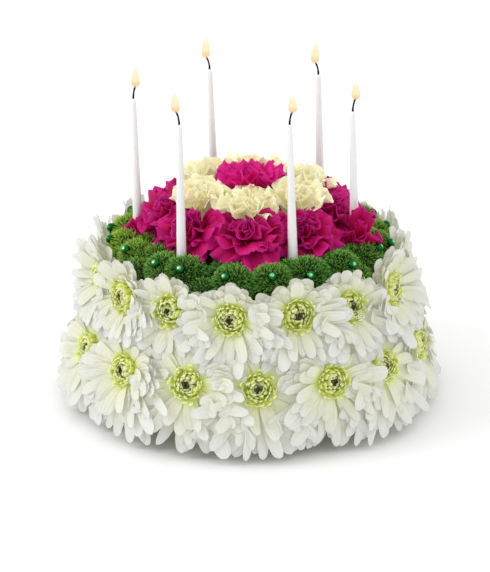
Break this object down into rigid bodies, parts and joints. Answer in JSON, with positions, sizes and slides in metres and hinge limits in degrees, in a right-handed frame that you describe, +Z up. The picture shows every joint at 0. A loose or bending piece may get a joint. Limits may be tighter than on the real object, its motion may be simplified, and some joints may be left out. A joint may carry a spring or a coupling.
{
  "type": "floral birthday cake with candles",
  "caption": "Round birthday cake made of cut flowers: white chrysanthemum side, green button rim, pink and cream carnation top, with taper candles.",
  "frame": {"origin": "centre of the flat underside of the foam drum", "axes": "+Z up along the cake's axis, front towards -Y"},
  "size_m": [0.2495, 0.2492, 0.2088],
  "materials": {
    "foam": "matt wet foam, dark green",
    "white_petal": "matt white petals, yellow-green at the heart",
    "pink_petal": "matt hot pink petals",
    "cream_petal": "matt cream petals",
    "green_button": "matt green, fine and spiky",
    "candle_wax": "satin white wax",
    "burnt_wick": "matt black char",
    "pearl": "glossy emerald pearl heads of the pins, with a metallic depth",
    "flame": "pale yellow flame, clear towards its tip"
  },
  "bodies": {
    "root": {"button_ring": "green_button", "candle_1": "candle_wax", "candle_2": "candle_wax", "candle_3": "candle_wax", "candle_4": "candle_wax", "candle_5": "candle_wax", "candle_6": "candle_wax", "carnation_centre": "pink_petal", "carnation_cream_01": "cream_petal", "carnation_cream_02": "cream_petal", "carnation_cream_03": "cream_petal", "carnation_cream_04": "cream_petal", "carnation_cream_05": "cream_petal", "carnation_cream_06": "cream_petal", "carnation_pink_01": "pink_petal", "carnation_pink_02": "pink_petal", "carnation_pink_03": "pink_petal", "carnation_pink_04": "pink_petal", "carnation_pink_05": "pink_petal", "carnation_pink_06": "pink_petal", "carnation_pink_07": "pink_petal", "carnation_pink_08": "pink_petal", "carnation_pink_09": "pink_petal", "foam_core": "foam", "mum_lower_01": "white_petal", "mum_lower_02": "white_petal", "mum_lower_03": "white_petal", "mum_lower_04": "white_petal", "mum_lower_05": "white_petal", "mum_lower_06": "white_petal", "mum_lower_07": "white_petal", "mum_lower_08": "white_petal", "mum_lower_09": "white_petal", "mum_lower_10": "white_petal", "mum_lower_11": "white_petal", "mum_lower_12": "white_petal", "mum_lower_13": "white_petal", "mum_lower_14": "white_petal", "mum_lower_15": "white_petal", "mum_upper_01": "white_petal", "mum_upper_02": "white_petal", "mum_upper_03": "white_petal", "mum_upper_04": "white_petal", "mum_upper_05": "white_petal", "mum_upper_06": "white_petal", "mum_upper_07": "white_petal", "mum_upper_08": "white_petal", "mum_upper_09": "white_petal", "mum_upper_10": "white_petal", "mum_upper_11": "white_petal", "mum_upper_12": "white_petal", "mum_upper_13": "white_petal", "mum_upper_14": "white_petal", "mum_upper_15": "white_petal", "wick_1": "burnt_wick", "wick_2": "burnt_wick", "wick_3": "burnt_wick", "wick_4": "burnt_wick", "wick_5": "burnt_wick", "wick_6": "burnt_wick"}
  },
  "joints": []
}
